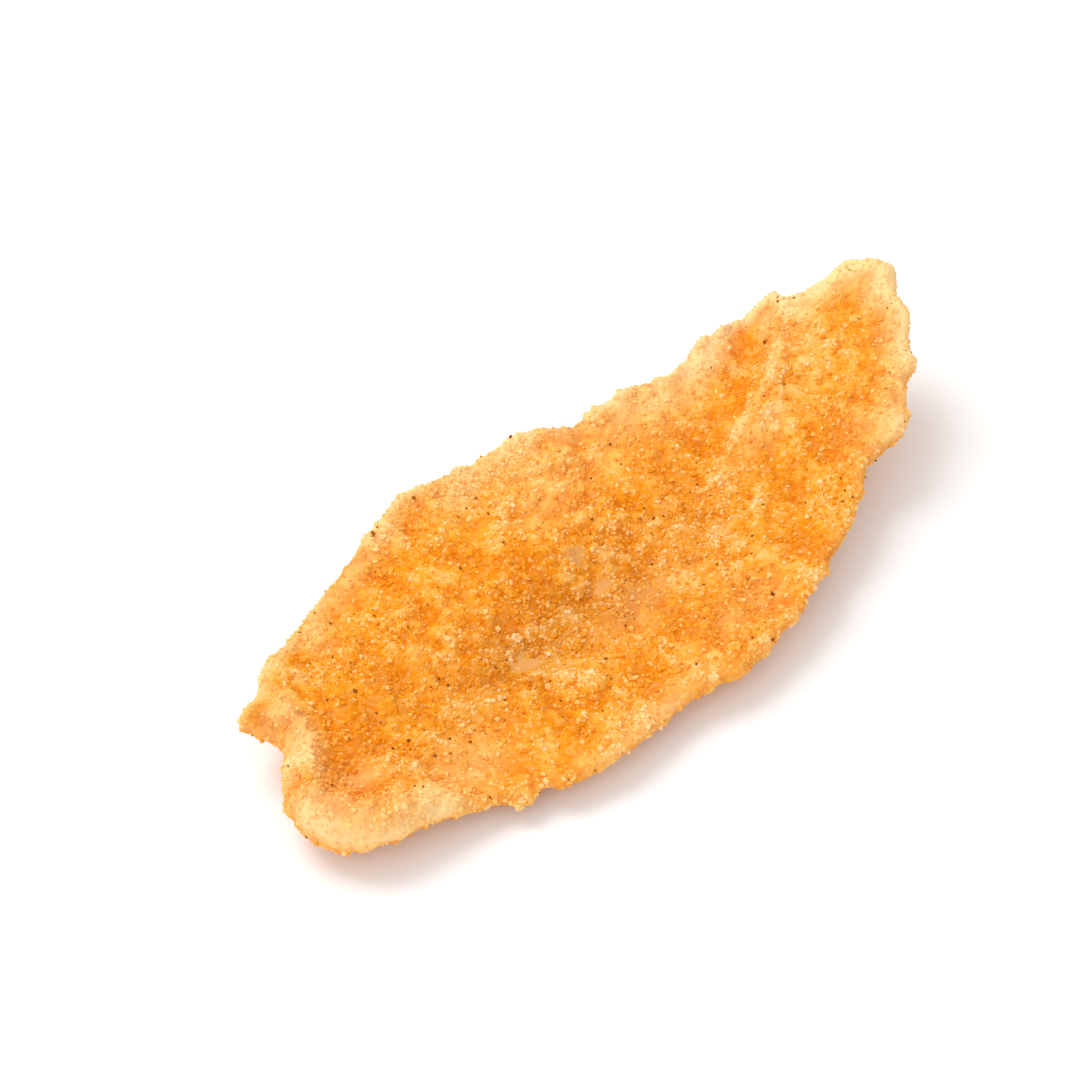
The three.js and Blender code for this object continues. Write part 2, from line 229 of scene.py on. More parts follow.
def bell(value, at, half, height):
    """height times exp(-((value - at) / half)^2): a smooth hump, or a groove if negative."""
    return height * np.exp(-(((value - at) / half) ** 2))


def slope(value, rise, start, span, power):
    """rise times t to the given power, where t is 0 up to start, 1 after span and goes on up
    to the place where slopes stop."""
    return rise * np.clip((value - start) / span, 0.0, SLOPE_STOPS) ** power


def middle_height(x, y, inward):
    """Height of the slab's middle: the sum of the ends' rise, the section across, the rim, its
    waves and the swells that frying left, each the same as in the solid."""
    curl = slope(x, *LOBED_END_CURL) + slope(-x, *BLUNT_END_CURL)
    aside = y - np.interp(x, *TROUGH_LINE.T)
    lobes, end = ramp(x, *LOBES_ZONE), ramp(-x, *LIP_ZONE)
    trough = bell(aside, *TROUGH) * (1.0 - lobes) * ramp(x, *TROUGH_ZONE)
    halves = slope(aside, *CURLED_HALF) + slope(-aside, *LOW_HALF)
    ridge = bell(aside, *RIDGE) * ramp(inward, *RIDGE_INWARD)
    folds = bell(aside, *CREASE) + ridge + slope(-aside, *BIG_LOBE)
    edge = bell(inward, *LIP) * end + bell(inward, *BEAD) * (1.0 - end)
    drip = bell(np.hypot(x - DRIP_PLACE[0], y - DRIP_PLACE[1]), *DRIP)
    side = EDGES_APART * np.clip(y / SIDE_CHANGES, -1.0, 1.0)
    near_rim = ramp(WAVE_REACH - inward, 0.0, WAVE_REACH)
    wave = WAVE_HEIGHT * uneven(x, side, WAVE_CELL) * near_rim * (1.0 - end)
    swell = SWELL_HEIGHT * uneven(x, y, SWELL_CELL)
    return curl + trough + halves + folds * lobes + edge + drip + wave + swell


def half_thickness(x, inward):
    """Half of the slab: a quarter round at the rim that swells into the body further in."""
    radius = EDGE_RADIUS + LIP_THICKER * ramp(-x, *LIP_ZONE) + TIP_THICKER * ramp(x, *TIP_ZONE)
    body = BODY_HALF + BLUNT_THICKER * ramp(-x, *BLUNT_ZONE)
    body -= LOBES_THINNER * ramp(x, *THINNER_ZONE)
    across = np.clip(inward / radius, 0.0, 1.0)
    edge = radius * np.sqrt(1.0 - (1.0 - across) ** 2)
    return edge + np.maximum(body - radius, 0.0) * ramp(inward, BODY_FROM * radius, BODY_FULL)


def crags(x, y, inward, shift):
    """The solid's own crags, and folds that are sharp where the unevenness changes sign."""
    rough = CRAG_HEIGHT * uneven(x + CRAG_SHIFT + shift, y, CRAG_CELL)
    folded = 1.0 - 2.0 * np.abs(uneven(x + shift, y + FOLD_SHIFT, FOLD_CELL))
    return rough + FOLD_HEIGHT * folded * ramp(inward, *FOLDS_INWARD)


def flakes(x, y):
    """Flaky steps: each is a smooth step across its line, which dies away exponentially behind
    the line and smoothly past its ends."""
    total = np.zeros_like(x)
    for x0, y0, x1, y1, height in FLAKES:
        length = np.hypot(x1 - x0, y1 - y0)
        ahead = ((x - x0) * (x1 - x0) + (y - y0) * (y1 - y0)) / length
        behind = ((x - x0) * (y1 - y0) - (y - y0) * (x1 - x0)) / length
        ends = ramp(ahead, *FLAKE_ENDS) * ramp(length - ahead, *FLAKE_ENDS)
        dying = np.exp(-np.maximum(behind, 0.0) / FLAKE_REACH)
        total += height * ramp(behind, -FLAKE_EDGE, FLAKE_EDGE) * dying * ends
    return total


def hollows(x, y, frayed=0.0):
    """How far into a bare hollow a place is, 0 to 1: exp(-(d^2 + frayed)^2), where d is the
    distance from its middle in half lengths, which is a flat floor with soft sides."""
    total = np.zeros_like(x)
    for at_x, at_y, long_half, short_half in HOLLOWS:
        dx, dy = x - at_x, y - at_y
        ahead = (dx * np.cos(HOLLOW_TURN) + dy * np.sin(HOLLOW_TURN)) / long_half
        aside = (dy * np.cos(HOLLOW_TURN) - dx * np.sin(HOLLOW_TURN)) / short_half
        total += np.exp(-((ahead**2 + aside**2 + frayed) ** 2))
    return total


middle = middle_height(plan_x, plan_y, inward)
half = half_thickness(plan_x, inward)
top_crags = crags(plan_x, plan_y, inward, 0.0)
top_relief = top_crags + flakes(plan_x, plan_y) - HOLLOW_DEPTH * hollows(plan_x, plan_y)
own = ramp(inward, *UNDERSIDE_INWARD)
under_crags = crags(plan_x, plan_y, inward, UNDERSIDE_SHIFT)
under_relief = top_crags * (1.0 - own) - under_crags * own
top_height = middle + half + top_relief
on_rim = np.ones(plan_x.shape, bool)
on_rim[1:-1, 1:-1] = False
top_height[on_rim] = (middle + top_crags)[on_rim]
under_height = np.maximum(middle - half + under_relief, -REST_DEPTH)
upper = np.stack([plan_x, plan_y, top_height + REST_DEPTH], axis=-1)
lower = np.stack([plan_x, plan_y, under_height + REST_DEPTH], axis=-1)


def closed_slab(upper, lower):
    """One closed mesh of an upper and a lower sheet that share the rim's points. Each cell is
    cut along the diagonal that points at the middle, so no triangle lies along the rim."""
    rows, columns = upper.shape[:2]
    top = np.arange(rows * columns).reshape(rows, columns)
    bottom = top.copy()
    inner = (rows - 2) * (columns - 2)
    bottom[1:-1, 1:-1] = rows * columns + np.arange(inner).reshape(rows - 2, columns - 2)
    points = np.concatenate([upper.reshape(-1, 3), lower[1:-1, 1:-1].reshape(-1, 3)])
    i, j = np.meshgrid(np.arange(rows - 1), np.arange(columns - 1), indexing="ij")
    same = ((i < (rows - 1) / 2) == (j < (columns - 1) / 2))[..., None, None]

    def cells(sheet):
        a, b = sheet[:-1, :-1], sheet[1:, :-1]
        c, d = sheet[1:, 1:], sheet[:-1, 1:]
        along_ac = np.stack([np.stack([a, b, c], -1), np.stack([a, c, d], -1)], -2)
        along_bd = np.stack([np.stack([a, b, d], -1), np.stack([b, c, d], -1)], -2)
        return np.where(same, along_ac, along_bd).reshape(-1, 3)

    return points, np.concatenate([cells(top), cells(bottom)[:, ::-1]])


SHORTEST = 1e-12


def point_normals(points, faces):
    """Each point's normal: the sum of its faces' cross products, brought to length 1."""
    a, b, c = (points[faces[:, k]] for k in range(3))
    cross = np.cross(b - a, c - a)
    total = np.stack(
        [
            np.bincount(faces.ravel(), np.repeat(cross[:, k], 3), len(points))
            for k in range(3)
        ],
        axis=-1,
    )
    return total / np.maximum(np.linalg.norm(total, axis=1, keepdims=True), SHORTEST)


fish_points, fish_faces = closed_slab(upper, lower)
fish_normals = point_normals(fish_points, fish_faces)
depth = np.concatenate([inward.ravel(), inward[1:-1, 1:-1].ravel()])

# ---- The crust -----------------------------------------------------------------------------
# Wet cornmeal, fried on: a shell of clotted crumbs over the fish. Its pits are deep orange, partly
# oil gathered there and partly painted shade; its tops are pale, partly floury and partly painted
# light; the trough is browner, partly brown from frying and partly painted shade; and in places
# the meal came off a smooth skin.

# Each pattern is the size of its cells and a shift that sets it apart from the others.
CLUMPS, CLUMP_HEIGHT = (5.0, 0.0), 0.45
SMALL_CLUMPS, SMALL_CLUMP_HEIGHT = (2.6, 40.0), 0.38
CLOTS, CLOT_HEIGHT = (3.8, 0.0), 0.75
CLOTTED_PARTS, CLOTTED_FROM = (11.0, 90.0), (-0.5, 0.5)
PITS, PIT_DEPTH = (4.4, 70.0), 0.5
PITTED_PARTS, PITTED_FROM = (9.0, 25.0), (-0.2, 0.6)
CRUMBS, CRUMB_HEIGHT = (2.0, 20.0), 0.34
CRUST_SUNK = 0.4

# A clot's reach and a start farther than any seed are squares, in cells.
CLOT_REACH, FARTHEST = 0.36, 9.0
SEED_SHIFTS = (0.0, 31.0, 57.0)


def lumps(points, cell, shift=0.0):
    """Unevenness from -1 to 1 in space: random corners of cubes, blended inside each."""
    q = (points + shift) / cell
    base = np.floor(q)
    s = ramp(q - base, 0.0, 1.0)
    total = np.zeros(len(points))
    for step in np.ndindex(2, 2, 2):
        weight = np.prod(np.where(np.array(step) == 1, s, 1.0 - s), axis=1)
        total += weight * corner(*(base + step).T)
    return 2.0 * total - 1.0


def clots(points, cell, shift=0.0):
    """Round clots: 1 at a scattered seed in each cube and falling to 0 a little over half a
    cube away, by the square of the distance to the nearest seed."""
    q = (points + shift) / cell
    base = np.floor(q)
    nearest = np.full(len(points), FARTHEST)
    for step in np.ndindex(3, 3, 3):
        cube = base + np.array(step) - 1.0
        seed = np.stack([corner(*(cube + apart).T) for apart in SEED_SHIFTS], -1)
        nearest = np.minimum(nearest, ((cube + seed - q) ** 2).sum(axis=1))
    return np.clip(1.0 - nearest / CLOT_REACH, 0.0, 1.0)


# Where on the fish a place is: each share runs from 0 to 1. A normal's own rise says whether
# the place is on the upper side, and how squarely it faces up.
UPPER_SIDE, FACING_UP = (-0.2, 0.2), (0.0, 0.7)
ON_ITS_SIDE, ON_ITS_TOP = 0.3, 0.7
FRAY_BIG, FRAY_BIG_CELL = 0.75, 3.7
FRAY_SMALL, FRAY_SMALL_CELL = 0.45, 1.6
BARE_SHRUNK, BARE_FROM = 0.2, (0.3, 0.95)
LIP_TOP_ZONE, LIP_TOP_WIDTH, LIP_TOP_FADE = (70.0, 86.0), 11.0, 5.0
TIP_RIM_ZONE, TIP_RIM = (66.0, 92.0), (0.0, 6.0, 1.0)
fish_x, fish_y, fish_z = fish_points.T
aside = fish_y - np.interp(fish_x, *TROUGH_LINE.T)
upward = ramp(fish_normals[:, 2], *UPPER_SIDE)
faces_up = ramp(fish_normals[:, 2], *FACING_UP)
squarely_up = ON_ITS_SIDE + ON_ITS_TOP * faces_up
frayed = FRAY_BIG * uneven(fish_x, fish_y, FRAY_BIG_CELL)
frayed += FRAY_SMALL * uneven(fish_x, fish_y, FRAY_SMALL_CELL)
bare = ramp(hollows(fish_x, fish_y, BARE_SHRUNK + frayed), *BARE_FROM) * upward
at_lip = ramp(-fish_x, *LIP_TOP_ZONE) * ramp(LIP_TOP_WIDTH - depth, 0.0, LIP_TOP_FADE) * upward
at_tip = ramp(fish_x, *TIP_RIM_ZONE) * bell(depth, *TIP_RIM) * squarely_up
lobes = ramp(fish_x, *LOBES_ZONE) * upward

# The crust stands off the fish along its normals, less where it came off, least at the table.
BARE_CALM, TIP_CALM, TABLE_CALM = 0.85, 0.4, (0.0, 1.5)
clumps = CLUMP_HEIGHT * lumps(fish_points, *CLUMPS)
clumps += SMALL_CLUMP_HEIGHT * lumps(fish_points, *SMALL_CLUMPS)
clotted_parts = ramp(lumps(fish_points, *CLOTTED_PARTS), *CLOTTED_FROM)
clotted = CLOT_HEIGHT * clots(fish_points, *CLOTS) * clotted_parts
pitted_parts = ramp(lumps(fish_points, *PITTED_PARTS), *PITTED_FROM)
pitted = PIT_DEPTH * clots(fish_points, *PITS) * pitted_parts
crumbs = CRUMB_HEIGHT * clots(fish_points, *CRUMBS)
stand_off = clumps + clotted - pitted + crumbs - CRUST_SUNK
calm = (1.0 - BARE_CALM * bare) * (1.0 - TIP_CALM * at_tip) * ramp(fish_z, *TABLE_CALM)
crust_points = fish_points + fish_normals * (stand_off * calm)[:, None]
crust_points[:, 2] = np.maximum(crust_points[:, 2], 0.0)
crust_normals = point_normals(crust_points, fish_faces)

# Patches on the upper side, each as its middle, its half lengths and its depth: pools of oil,
# which are deep orange and clear of flour, with painted shade just inside the lip among them,
# places left floury, and edges soaked through.
POOLS_AND_SHADE = [
    (-70, 6, 14, 10, 0.4), (-47, -21, 11, 7, 0.4), (52, -19, 15, 8, 0.35), (30, 11, 20, 8, 0.3),
    (56, 6, 10, 4, 0.6), (-12, -28, 9, 7, 0.3), (-44, 18, 18, 9, 0.25), (15, 30, 9, 5, 0.3),
    (-87, -11, 9, 5, 0.35), (-89, 14, 4, 4, 0.25), (-96, 1, 4, 4, 0.3),
]
FLOURED = [
    (66, -29, 9, 9, 0.6), (79, 20, 9, 7, 0.7), (-30, -38, 14, 5, 0.35), (72, 7, 8, 7, 0.3),
    (-66, -17, 11, 6, 0.3), (-6, -15, 12, 5, 0.2), (5, -33, 13, 6, 0.2), (-85, -3, 6, 4, 0.5),
    (12, 37, 7, 4, 0.5), (50, -5, 14, 6, 0.2), (-97, -8, 4, 4, 0.5), (-65, 25.5, 4, 3, 0.3),
    (-84, 29, 5, 4, 0.35), (-73, 31, 6, 4, 0.4), (-12, 33, 7, 4, 0.3), (48, 27, 5, 3, 0.35),
]
SOAKED = [
    (-95.5, 1.5, 5, 4, 1.0), (-90.5, 20.5, 4, 3, 0.5), (-85.5, 21.5, 4, 3, 0.7),
    (-79, 23.5, 4, 3, 0.4), (-71, 25.5, 4, 3, 0.4), (-90, -16, 7, 3, 0.5), (-48, 38.5, 6, 3, 0.6),
    (-38, 40, 6, 3, 0.35), (30, 30, 8, 3, 0.3),
]


def patches(places):
    """The sum of soft ellipses on the upper side, each its depth times exp(-d^2), where d is
    the distance from its middle in half lengths."""
    total = np.zeros_like(fish_x)
    for at_x, at_y, long_half, short_half, deep in places:
        out = np.hypot((fish_x - at_x) / long_half, (fish_y - at_y) / short_half)
        total += bell(out, 0.0, 1.0, deep)
    return total * upward


# Tone runs from the deep orange of the pits to the cream of the tops with the crust's rise,
# partly the meal's own colour and partly painted shade in the pits and painted light on the
# tops; it is lighter on the ridge's crest, a painted highlight.
MIDDLE_TONE, TONE_PER_MM = 0.56, 0.6
MOTTLES, MOTTLE_DEPTH = (3.6, 60.0), 0.2
BIG_MOTTLES, BIG_MOTTLE_DEPTH = (9.0, 15.0), 0.35
CREASE_BAND, CREASE_ZONE, CREASE_INWARD = (0.5, 5.0, 1.0), (5.0, 50.0), (0.0, 5.0)
CREST_LINE = np.array([(30, -4), (40, -1), (50, 1), (62, 2.5), (74, 7.5), (84, 13.5)], float)
CREST_BAND, CREST_ZONE = (0.0, 1.7, 1.0), (30.0, 50.0)
CREST_HIGHLIGHT_TONE, CREASE_TONE = 0.45, 0.08
mottled = MOTTLE_DEPTH * lumps(fish_points, *MOTTLES)
mottled += BIG_MOTTLE_DEPTH * lumps(fish_points, *BIG_MOTTLES)
pooled_and_shaded = patches(POOLS_AND_SHADE)
# The crease is painted a brighter, deeper orange and kept clear of flour: partly oil, partly
# painted bounce light glowing in the crease.
in_crease = bell(aside, *CREASE_BAND) * ramp(fish_x, *CREASE_ZONE)
in_crease = in_crease * ramp(depth, *CREASE_INWARD) * upward
# The crest is painted lighter along its line, a painted highlight where light falls on the ridge.
crest_y = np.interp(fish_x, *CREST_LINE.T)
crest_highlight = bell(fish_y - crest_y, *CREST_BAND) * ramp(fish_x, *CREST_ZONE) * upward
tone = MIDDLE_TONE + TONE_PER_MM * stand_off + mottled - pooled_and_shaded
tone += CREST_HIGHLIGHT_TONE * crest_highlight + CREASE_TONE * in_crease

# Toast is how much browner and darker the trough is painted, partly brown from frying and partly
# painted shade in the trough, in one patch and a faint wider one, least on the tops.
DARK_BAND_ACROSS, DARK_BAND_ALONG = (-4.5, 9.0, 1.0), (-20.0, 42.0, 1.0)
FAINT_ACROSS, FAINT_ALONG = (-12.0, 20.0, 0.18), (5.0, 60.0, 1.0)
TOAST_AND_SHADE_MOST, TOAST_AND_SHADE_OFF_TOPS = 1.25, 0.6
TOAST_AND_SHADE_MOTTLES, TOAST_AND_SHADE_MOTTLE_DEPTH = (7.0, 0.0), 0.3
in_trough = bell(fish_y, *DARK_BAND_ACROSS) * bell(fish_x, *DARK_BAND_ALONG)
in_trough += bell(fish_y, *FAINT_ACROSS) * bell(fish_x, *FAINT_ALONG)
browned_and_shaded = TOAST_AND_SHADE_MOST - TOAST_AND_SHADE_OFF_TOPS * np.clip(tone, 0.0, 1.0)
browned_and_shaded += TOAST_AND_SHADE_MOTTLE_DEPTH * lumps(fish_points, *TOAST_AND_SHADE_MOTTLES)
toast = in_trough * upward * browned_and_shaded

# Pale is how light the crust is painted: floury meal on the small lobe, the lip and the side that
# curls up; along the rims and at the tip partly floury and partly painted light through the thin
# edges; a painted highlight on the crest; but not in the crease or in the pools and painted shade.
HIGH_EDGE_Y, HIGH_EDGE_X = (-5.0, 15.0), (-80.0, -50.0)
RIM_PALE, HIGH_EDGE_PALE = (0.0, 3.0, 0.15), (0.0, 5.0, 0.7)
TIP_PALE, CREST_HIGHLIGHT_PALE = 1.3, 0.35
SMALL_LOBE_PALE, SMALL_LOBE_ASIDE = 0.65, (3.0, 9.0)
LIP_PALE, LIP_MOTTLES, LIP_MOTTLE_DEPTH = 0.95, (7.0, 55.0), 0.5
HIGH_SIDE_PALE, HIGH_SIDE_Y, HIGH_SIDE_X = 0.25, (6.0, 22.0), (-15.0, 10.0)
PALE_KEPT, PALE_MOTTLES, PALE_MOTTLE_DEPTH = 0.9, (5.0, 0.0), 0.55
CLEAR_OF_PALE = 1.5
# The rims, the high edge and the tip are painted paler, most where they face up: partly floury
# meal, partly painted light through the thin edges.
high_edge = ramp(fish_y, *HIGH_EDGE_Y) * ramp(fish_x, *HIGH_EDGE_X) * squarely_up
pale = bell(depth, *RIM_PALE) + high_edge * bell(depth, *HIGH_EDGE_PALE)
small_lobe = SMALL_LOBE_PALE * lobes * ramp(aside, *SMALL_LOBE_ASIDE)
pale += TIP_PALE * at_tip + small_lobe + CREST_HIGHLIGHT_PALE * crest_highlight
pale += at_lip * (LIP_PALE + LIP_MOTTLE_DEPTH * lumps(fish_points, *LIP_MOTTLES))
pale += HIGH_SIDE_PALE * ramp(fish_y, *HIGH_SIDE_Y) * ramp(fish_x, *HIGH_SIDE_X) * upward
pale += patches(FLOURED) - patches(SOAKED)
pale_kept = PALE_KEPT + PALE_MOTTLE_DEPTH * lumps(fish_points, *PALE_MOTTLES)
pale *= pale_kept * (1.0 - in_crease) * (1.0 - CLEAR_OF_PALE * pooled_and_shaded)


METRES_PER_MM = 0.001


def mesh_object(name, points, faces, smooth, **attributes):
    """A mesh object in metres from points in millimetres and triangles, smooth or faceted,
    with a number from 0 to 1 at each point for each attribute."""
    mesh = bpy.data.meshes.new(name)
    mesh.vertices.add(len(points))
    mesh.vertices.foreach_set("co", (points * METRES_PER_MM).astype(np.float32).ravel())
    mesh.loops.add(faces.size)
    mesh.loops.foreach_set("vertex_index", faces.astype(np.int32).ravel())
    mesh.polygons.add(len(faces))
    mesh.polygons.foreach_set("loop_start", np.arange(0, faces.size, 3, dtype=np.int32))
    mesh.update(calc_edges=True)
    mesh.polygons.foreach_set("use_smooth", np.full(len(faces), smooth))
    for label, values in attributes.items():
        layer = mesh.attributes.new(label, "FLOAT", "POINT")
        layer.data.foreach_set("value", np.clip(values, 0.0, 1.0).astype(np.float32))
    mesh.validate()
    made = bpy.data.objects.new(name, mesh)
    bpy.context.scene.collection.objects.link(made)
    return made


def add_node(tree, kind, **settings):
    """A shader node with its settings: plain names set a property, and 'in_NAME' an input."""
    made = tree.nodes.new(kind)
    for key, value in settings.items():
        if key.startswith("in_"):
            made.inputs[key[3:].replace("_", " ")].default_value = value
        else:
            setattr(made, key, value)
    return made


def point_value(tree, label):
    """The socket of a number kept at the mesh's points."""
    return add_node(tree, "ShaderNodeAttribute", attribute_name=label).outputs["Fac"]


def colour_ramp(tree, source, stops):
    """A colour ramp fed by a socket, with (place, colour) stops."""
    made = tree.nodes.new("ShaderNodeValToRGB")
    elements = made.color_ramp.elements
    elements[0].position, elements[0].color = stops[0][0], (*stops[0][1], 1.0)
    elements[1].position, elements[1].color = stops[-1][0], (*stops[-1][1], 1.0)
    for place, colour in stops[1:-1]:
        elements.new(place).color = (*colour, 1.0)
    tree.links.new(source, made.inputs["Fac"])
    return made.outputs["Color"]


def scaled(tree, source, low, high):
    """A 0 to 1 socket stretched to run from low to high."""
    made = add_node(tree, "ShaderNodeMapRange", in_To_Min=low, in_To_Max=high)
    tree.links.new(source, made.inputs["Value"])
    return made.outputs["Result"]


# A Mix node's places for the share and for its two colours, and for the colour it gives.
MIX_INPUTS = (0, 6, 7)
MIX_OUTPUT = 2


def mixed(tree, share, first, second, blend="MIX"):
    """Blends two colours by a share, each a socket or a plain value."""
    made = add_node(tree, "ShaderNodeMix", data_type="RGBA", blend_type=blend)
    for place, value in zip(MIX_INPUTS, (share, first, second)):
        if isinstance(value, (int, float)):
            made.inputs[place].default_value = value
        elif isinstance(value, tuple):
            made.inputs[place].default_value = (*value, 1.0)
        else:
            tree.links.new(value, made.inputs[place])
    return made.outputs[MIX_OUTPUT]


CRUST_COLOURS = [
    (0.05, (0.74, 0.200, 0.001)), (0.35, (0.87, 0.298, 0.004)),
    (0.60, (0.93, 0.405, 0.036)), (0.95, (0.95, 0.550, 0.165)),
]
MEAL_COLOURS = [
    (0.15, (0.82, 0.22, 0.002)), (0.5, (0.93, 0.36, 0.02)), (0.85, (0.96, 0.57, 0.18)),
]
ROSY = (0.92, 0.39, 0.12)
BROWNING_AND_SHADE = (0.68, 0.64, 0.8)
PALE_FLOUR_AND_LIGHT = (0.97, 0.64, 0.28)
BARE_SKIN = (0.71, 0.33, 0.090)
ROSY_CLOUDS, ROSY_FROM, ROSY_FULL, ROSY_MOST = 75.0, 0.45, 0.7, 0.55
MEAL_CELLS, MEAL_SOFTNESS, MEAL_SHARE = 950.0, 0.3, 0.27
STIR_CELLS, STIR_REACH = 900.0, 0.0006
MEAL_BUMP, MEAL_DEPTH = 0.5, 0.0005
GRIT_CELLS, GRIT_BUMP, GRIT_DEPTH = 1500.0, 0.25, 0.0002
CRUST_ROUGHNESS, SKIN_ROUGHNESS = 0.65, 0.5
CRUST_SHINE = 0.08
LIGHT_SINKS_IN, SINKS_BY_COLOUR, SINKS_TO = 0.2, (1.0, 0.6, 0.4), 0.0015


def crust_material():
    """Fried cornmeal: deep orange in the pits, gold to cream on the tops, partly its own colour
    and partly painted shade in the pits and painted light on the tops, with rosy clouds that
    follow the tone and a mosaic of meal in cells of about a millimetre, then made browner in the
    trough, partly with painted shade, paler with flour and painted light, and bared by the crust's
    own numbers. Its bumps are the mosaic's cells and a fine grit."""
    made = bpy.data.materials.new("crust")
    made.use_nodes = True
    tree = made.node_tree
    shader = tree.nodes["Principled BSDF"]
    link = tree.links.new
    place = tree.nodes.new("ShaderNodeTexCoord").outputs["Object"]
    body = colour_ramp(tree, point_value(tree, "tone"), CRUST_COLOURS)
    cloudy = add_node(tree, "ShaderNodeTexNoise", in_Scale=ROSY_CLOUDS, in_Detail=2.0)
    link(place, cloudy.inputs["Vector"])
    rosy = add_node(
        tree, "ShaderNodeMapRange",
        in_From_Min=ROSY_FROM, in_From_Max=ROSY_FULL, in_To_Max=ROSY_MOST,
    )
    link(cloudy.outputs["Fac"], rosy.inputs["Value"])
    risen = add_node(tree, "ShaderNodeMath", operation="MULTIPLY")
    link(rosy.outputs["Result"], risen.inputs[0])
    link(point_value(tree, "tone"), risen.inputs[1])
    body = mixed(tree, risen.outputs["Value"], body, ROSY)
    stirred = add_node(tree, "ShaderNodeTexNoise", in_Scale=STIR_CELLS, in_Detail=1.0)
    link(place, stirred.inputs["Vector"])
    shifted = add_node(tree, "ShaderNodeVectorMath", operation="MULTIPLY_ADD")
    shifted.inputs[1].default_value = (STIR_REACH, STIR_REACH, STIR_REACH)
    link(stirred.outputs["Color"], shifted.inputs[0])
    link(place, shifted.inputs[2])
    meal = add_node(
        tree, "ShaderNodeTexVoronoi",
        feature="SMOOTH_F1", in_Scale=MEAL_CELLS, in_Smoothness=MEAL_SOFTNESS,
    )
    link(shifted.outputs["Vector"], meal.inputs["Vector"])
    cell = tree.nodes.new("ShaderNodeSeparateColor")
    link(meal.outputs["Color"], cell.inputs["Color"])
    mosaic = colour_ramp(tree, cell.outputs["Red"], MEAL_COLOURS)
    body = mixed(tree, MEAL_SHARE, body, mosaic)
    body = mixed(tree, point_value(tree, "toast"), body, BROWNING_AND_SHADE, "MULTIPLY")
    body = mixed(tree, point_value(tree, "pale"), body, PALE_FLOUR_AND_LIGHT)
    body = mixed(tree, point_value(tree, "bare"), body, BARE_SKIN)
    link(body, shader.inputs["Base Color"])
    roughness = scaled(tree, point_value(tree, "bare"), CRUST_ROUGHNESS, SKIN_ROUGHNESS)
    link(roughness, shader.inputs["Roughness"])
    shader.inputs["Subsurface Weight"].default_value = LIGHT_SINKS_IN
    shader.inputs["Subsurface Radius"].default_value = SINKS_BY_COLOUR
    shader.inputs["Subsurface Scale"].default_value = SINKS_TO
    shader.inputs["Specular IOR Level"].default_value = CRUST_SHINE
    fine = add_node(tree, "ShaderNodeTexNoise", in_Scale=GRIT_CELLS, in_Detail=2.0)
    link(place, fine.inputs["Vector"])
    coarse = add_node(tree, "ShaderNodeBump", in_Strength=MEAL_BUMP, in_Distance=MEAL_DEPTH)
    coarse.invert = True
    link(meal.outputs["Distance"], coarse.inputs["Height"])
    grit = add_node(tree, "ShaderNodeBump", in_Strength=GRIT_BUMP, in_Distance=GRIT_DEPTH)
    link(fine.outputs["Fac"], grit.inputs["Height"])
    link(coarse.outputs["Normal"], grit.inputs["Normal"])
    link(grit.outputs["Normal"], shader.inputs["Normal"])
    return made


crust = mesh_object(
    "crust", crust_points, fish_faces, True, tone=tone, toast=toast, pale=pale, bare=bare,
)
crust.data.materials.append(crust_material())
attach(crust, "root")
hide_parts("fillet")

# ---- The cornmeal --------------------------------------------------------------------------
# Cornmeal clings to the crust as hard little grains: cream ones mostly on its tops and rims,
# gilded and amber ones all over. Each is a worn corner of kernel, half sunk.

GRAIN_SEED = 20
GRAINS_A_PIECE = 9500
GRAIN_RADIUS = (0.30, 0.72)
UNEVEN_SIDES = (0.6, 1.3)
MOSTLY_SMALL = 1.8
CREAM_STAND, HALF_SUNK = (-0.6, 0.05), (-0.7, 0.0)
OWN_TONE, CRUST_TONE, LIT_TOP_TONE = 0.45, 0.45, 0.25
CORNERS_PUSHED = (0.65, 1.3)

# A kernel starts as an icosahedron of radius 1, whose edge is 1.05 long.
KERNEL_CORNERS, PAST_ONE_EDGE = 12, 1.1
chooser = np.random.default_rng(GRAIN_SEED)


def worn_kernel(rng, count):
    """count twenty-faced grains: an icosahedron's corners, each pushed in or out at random. Its
    faces are the corners that lie one edge apart, three by three, wound to point outwards."""
    golden = (1.0 + 5.0**0.5) / 2.0
    ring = np.array([(-1, golden, 0), (1, golden, 0), (-1, -golden, 0), (1, -golden, 0)], float)
    corners = np.concatenate([ring, np.roll(ring, 1, axis=1), np.roll(ring, 2, axis=1)])
    corners /= np.linalg.norm(corners[0])
    near = np.linalg.norm(corners[:, None] - corners[None], axis=2) < PAST_ONE_EDGE
    a, b, c = np.meshgrid(*3 * [np.arange(KERNEL_CORNERS)], indexing="ij")
    touching = near[a, b] & near[b, c] & near[a, c] & (a < b) & (b < c)
    faces = np.stack([a[touching], b[touching], c[touching]], axis=-1)
    turn = np.cross(
        corners[faces[:, 1]] - corners[faces[:, 0]],
        corners[faces[:, 2]] - corners[faces[:, 0]],
    )
    inside_out = (turn * corners[faces[:, 0]]).sum(axis=1) < 0.0
    faces[inside_out] = faces[inside_out][:, ::-1]
    return corners[None] * rng.uniform(*CORNERS_PUSHED, (count, KERNEL_CORNERS, 1)), faces


def random_turns(rng, count):
    """count rotation matrices, evenly spread, from random unit quaternions."""
    w, x, y, z = rng.normal(size=(4, count))
    size = np.sqrt(w * w + x * x + y * y + z * z)
    w, x, y, z = w / size, x / size, y / size, z / size
    return np.stack([
        np.stack([1 - 2 * (y * y + z * z), 2 * (x * y - z * w), 2 * (x * z + y * w)], -1),
        np.stack([2 * (x * y + z * w), 1 - 2 * (x * x + z * z), 2 * (y * z - x * w)], -1),
        np.stack([2 * (x * z - y * w), 2 * (y * z + x * w), 1 - 2 * (x * x + y * y)], -1),
    ], axis=-2)


